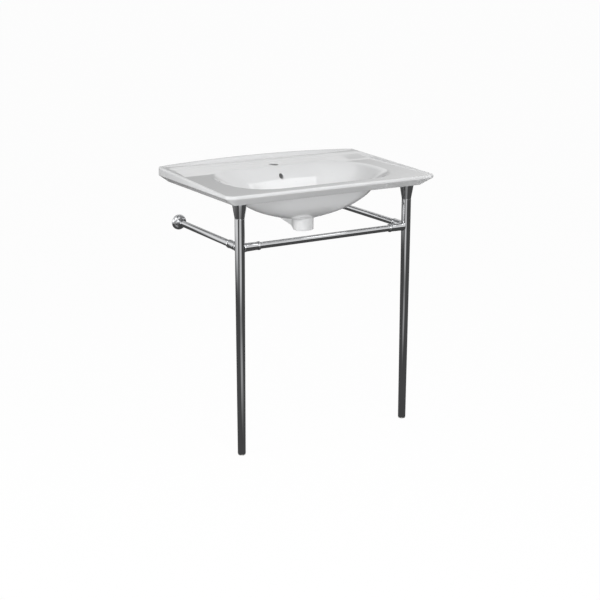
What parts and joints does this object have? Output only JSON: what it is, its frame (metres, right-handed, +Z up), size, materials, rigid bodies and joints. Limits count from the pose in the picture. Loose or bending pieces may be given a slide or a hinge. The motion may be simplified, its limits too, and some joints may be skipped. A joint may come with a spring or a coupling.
{
  "type": "console sink with legs",
  "caption": "Rectangular wall-hung ceramic console basin with an oval bowl on chromed front legs, with towel bars to the front and back to the wall.",
  "frame": {"origin": "on the wall's face, on the centre line, at the height of the two hanger bolts", "axes": "+Z up, +Y into the wall, +X to the right of someone who faces the basin"},
  "size_m": [0.8, 0.585, 0.92],
  "materials": {
    "glazed_ceramic": "gloss white glaze",
    "chrome": "polished",
    "zinc_plated_steel": "zinc plated",
    "brass": "as machined",
    "plastic": "matte",
    "rubber": "matte"
  },
  "bodies": {
    "console": {"basin": "glazed_ceramic", "front_bar": "chrome", "leg_left": "chrome", "leg_cap_left": "chrome", "corner_socket_left": "chrome", "front_ring_left": "chrome", "side_ring_left": "chrome", "side_bar_left": "chrome", "leg_right": "chrome", "leg_cap_right": "chrome", "corner_socket_right": "chrome", "front_ring_right": "chrome", "side_ring_right": "chrome", "side_bar_right": "chrome", "cap_screw_left": "zinc_plated_steel", "front_grub_left": "zinc_plated_steel", "side_grub_left": "zinc_plated_steel", "wall_stud_left": "zinc_plated_steel", "bracket_grub_left": "zinc_plated_steel", "hanger_bolt_left": "zinc_plated_steel", "hanger_washer_left": "zinc_plated_steel", "hanger_nut_left": "zinc_plated_steel", "cap_screw_right": "zinc_plated_steel", "front_grub_right": "zinc_plated_steel", "side_grub_right": "zinc_plated_steel", "wall_stud_right": "zinc_plated_steel", "bracket_grub_right": "zinc_plated_steel", "hanger_bolt_right": "zinc_plated_steel", "hanger_washer_right": "zinc_plated_steel", "hanger_nut_right": "zinc_plated_steel", "leg_plug_left": "brass", "foot_bush_left": "brass", "wall_bracket_left": "brass", "leg_plug_right": "brass", "foot_bush_right": "brass", "wall_bracket_right": "brass", "hanger_sleeve_left": "plastic", "hanger_sleeve_right": "plastic", "cap_pad_left": "rubber", "cap_pad_right": "rubber"},
    "foot_left": {"levelling_foot_left": "zinc_plated_steel", "foot_sole_left": "plastic"},
    "foot_right": {"levelling_foot_right": "zinc_plated_steel", "foot_sole_right": "plastic"},
    "flange_left": {"wall_flange_left": "chrome"},
    "flange_right": {"wall_flange_right": "chrome"}
  },
  "joints": [
    {"name": "foot_left_travel", "type": "slide", "parent": "console", "child": "foot_left", "axis": [0, 0, -1], "range_m": [0, 0.015]},
    {"name": "foot_right_travel", "type": "slide", "parent": "console", "child": "foot_right", "axis": [0, 0, -1], "range_m": [0, 0.015]},
    {"name": "flange_left_slide", "type": "slide", "parent": "console", "child": "flange_left", "axis": [0, -1, 0], "range_m": [0, 0.06]},
    {"name": "flange_right_slide", "type": "slide", "parent": "console", "child": "flange_right", "axis": [0, -1, 0], "range_m": [0, 0.06]}
  ]
}
